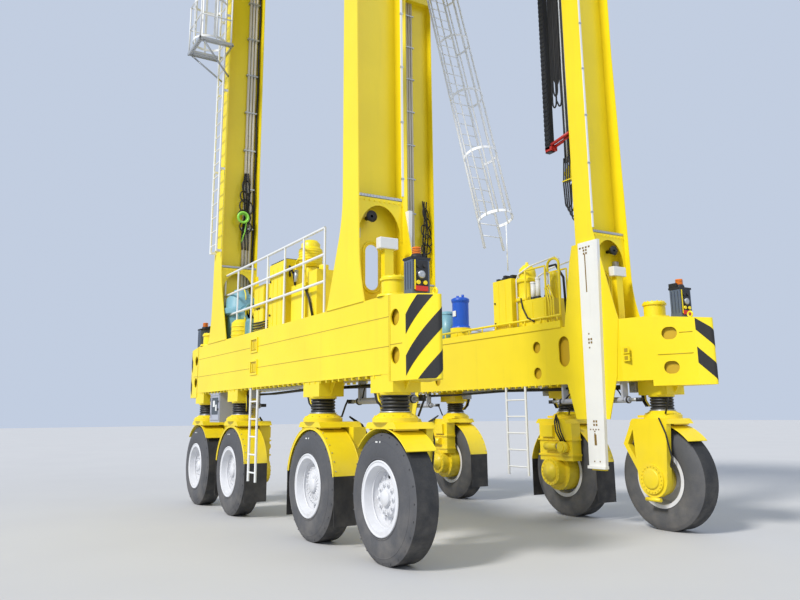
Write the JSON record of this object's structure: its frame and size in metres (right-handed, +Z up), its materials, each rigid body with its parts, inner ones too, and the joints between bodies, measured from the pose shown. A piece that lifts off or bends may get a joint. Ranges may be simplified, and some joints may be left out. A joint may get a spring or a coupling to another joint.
{
  "type": "straddle carrier",
  "caption": "Tall yellow straddle carrier for containers: two side beams on steered wheels, flared legs, a top frame with hoist gear, ladders and railings.",
  "frame": {"origin": "on the ground under the middle of the bounding box; the frame stands 0.36 m to the right of it, because the ladder cage reaches out on the left", "axes": "+X towards the near end, +Y towards the right side, +Z up"},
  "size_m": [9.909, 6.1352, 14.9997],
  "materials": {
    "yellow_paint": "gloss",
    "white_paint": "gloss",
    "grey_paint": "satin",
    "dark_steel": "satin",
    "galvanised": "matt",
    "light_blue_paint": "gloss",
    "blue_paint": "gloss",
    "scanner_grey": "matt",
    "amber_lens": "gloss",
    "black_rubber": "matt",
    "tyre": "matt",
    "rim_white": "gloss"
  },
  "bodies": {
    "chassis": {"side_beam_left": "yellow_paint", "side_beam_right": "yellow_paint", "leg_left_near": "yellow_paint", "leg_left_far": "yellow_paint", "leg_right_near": "yellow_paint", "leg_right_far": "yellow_paint", "guide_strips": "white_paint", "cross_beams": "yellow_paint", "top_beams": "yellow_paint", "top_deck": "dark_steel", "machinery_house": "grey_paint", "deck_bearers": "dark_steel", "hoist_stands": "dark_steel", "hoist_motors": "light_blue_paint", "bellows": "black_rubber", "scanners": "scanner_grey", "beacons": "amber_lens", "steering_cylinders": "grey_paint", "under_cabinet": "grey_paint", "power_unit": "yellow_paint", "air_tank": "blue_paint", "deck_drives": "yellow_paint", "deck_cooler": "light_blue_paint", "walk_railing": "white_paint", "deck_railing": "white_paint", "leg_ladder": "white_paint", "step_ladders": "white_paint", "inclined_ladder": "galvanised"},
    "steering_left_1": {"fork_left_1": "yellow_paint"},
    "wheel_left_1": {"tyre_left_1": "tyre", "rim_left_1": "rim_white"},
    "steering_left_2": {"fork_left_2": "yellow_paint", "mudflaps_left_2": "black_rubber"},
    "wheel_left_2": {"tyre_left_2": "tyre", "rim_left_2": "rim_white"},
    "steering_left_3": {"fork_left_3": "yellow_paint", "mudflaps_left_3": "black_rubber"},
    "wheel_left_3": {"tyre_left_3": "tyre", "rim_left_3": "rim_white"},
    "steering_left_4": {"fork_left_4": "yellow_paint"},
    "wheel_left_4": {"tyre_left_4": "tyre", "rim_left_4": "rim_white"},
    "steering_right_1": {"fork_right_1": "yellow_paint"},
    "wheel_right_1": {"tyre_right_1": "tyre", "rim_right_1": "rim_white"},
    "steering_right_2": {"fork_right_2": "yellow_paint", "mudflaps_right_2": "black_rubber"},
    "wheel_right_2": {"tyre_right_2": "tyre", "rim_right_2": "rim_white"},
    "steering_right_3": {"fork_right_3": "yellow_paint", "mudflaps_right_3": "black_rubber"},
    "wheel_right_3": {"tyre_right_3": "tyre", "rim_right_3": "rim_white"},
    "steering_right_4": {"fork_right_4": "yellow_paint"},
    "wheel_right_4": {"tyre_right_4": "tyre", "rim_right_4": "rim_white"}
  },
  "joints": [
    {"name": "steer_left_1", "type": "hinge", "parent": "chassis", "child": "steering_left_1", "pos_m": [3.9, -2.081, 1.79], "axis": [0, 0, 1], "range_deg": [-25, 25]},
    {"name": "roll_left_1", "type": "hinge", "parent": "steering_left_1", "child": "wheel_left_1", "pos_m": [3.9, -2.113, 0.77], "axis": [0, 1, 0], "continuous": true},
    {"name": "steer_left_2", "type": "hinge", "parent": "chassis", "child": "steering_left_2", "pos_m": [1.78, -2.081, 1.79], "axis": [0, 0, 1], "range_deg": [-12, 12]},
    {"name": "roll_left_2", "type": "hinge", "parent": "steering_left_2", "child": "wheel_left_2", "pos_m": [1.78, -2.113, 0.77], "axis": [0, 1, 0], "continuous": true},
    {"name": "steer_left_3", "type": "hinge", "parent": "chassis", "child": "steering_left_3", "pos_m": [-1.78, -2.081, 1.79], "axis": [0, 0, 1], "range_deg": [-12, 12]},
    {"name": "roll_left_3", "type": "hinge", "parent": "steering_left_3", "child": "wheel_left_3", "pos_m": [-1.78, -2.113, 0.77], "axis": [0, 1, 0], "continuous": true},
    {"name": "steer_left_4", "type": "hinge", "parent": "chassis", "child": "steering_left_4", "pos_m": [-3.9, -2.081, 1.79], "axis": [0, 0, 1], "range_deg": [-25, 25]},
    {"name": "roll_left_4", "type": "hinge", "parent": "steering_left_4", "child": "wheel_left_4", "pos_m": [-3.9, -2.113, 0.77], "axis": [0, 1, 0], "continuous": true},
    {"name": "steer_right_1", "type": "hinge", "parent": "chassis", "child": "steering_right_1", "pos_m": [3.9, 2.799, 1.79], "axis": [0, 0, 1], "range_deg": [-25, 25]},
    {"name": "roll_right_1", "type": "hinge", "parent": "steering_right_1", "child": "wheel_right_1", "pos_m": [3.9, 2.831, 0.77], "axis": [0, 1, 0], "continuous": true},
    {"name": "steer_right_2", "type": "hinge", "parent": "chassis", "child": "steering_right_2", "pos_m": [1.78, 2.799, 1.79], "axis": [0, 0, 1], "range_deg": [-12, 12]},
    {"name": "roll_right_2", "type": "hinge", "parent": "steering_right_2", "child": "wheel_right_2", "pos_m": [1.78, 2.831, 0.77], "axis": [0, 1, 0], "continuous": true},
    {"name": "steer_right_3", "type": "hinge", "parent": "chassis", "child": "steering_right_3", "pos_m": [-1.78, 2.799, 1.79], "axis": [0, 0, 1], "range_deg": [-12, 12]},
    {"name": "roll_right_3", "type": "hinge", "parent": "steering_right_3", "child": "wheel_right_3", "pos_m": [-1.78, 2.831, 0.77], "axis": [0, 1, 0], "continuous": true},
    {"name": "steer_right_4", "type": "hinge", "parent": "chassis", "child": "steering_right_4", "pos_m": [-3.9, 2.799, 1.79], "axis": [0, 0, 1], "range_deg": [-25, 25]},
    {"name": "roll_right_4", "type": "hinge", "parent": "steering_right_4", "child": "wheel_right_4", "pos_m": [-3.9, 2.831, 0.77], "axis": [0, 1, 0], "continuous": true}
  ],
  "couplings": [
    {"joint": "steer_left_2", "follows": "steer_left_1", "ratio": 0.47},
    {"joint": "steer_left_3", "follows": "steer_left_1", "ratio": -0.47},
    {"joint": "steer_left_4", "follows": "steer_left_1", "ratio": -1},
    {"joint": "steer_right_1", "follows": "steer_left_1", "ratio": 1},
    {"joint": "steer_right_2", "follows": "steer_left_1", "ratio": 0.47},
    {"joint": "steer_right_3", "follows": "steer_left_1", "ratio": -0.47},
    {"joint": "steer_right_4", "follows": "steer_left_1", "ratio": -1}
  ]
}
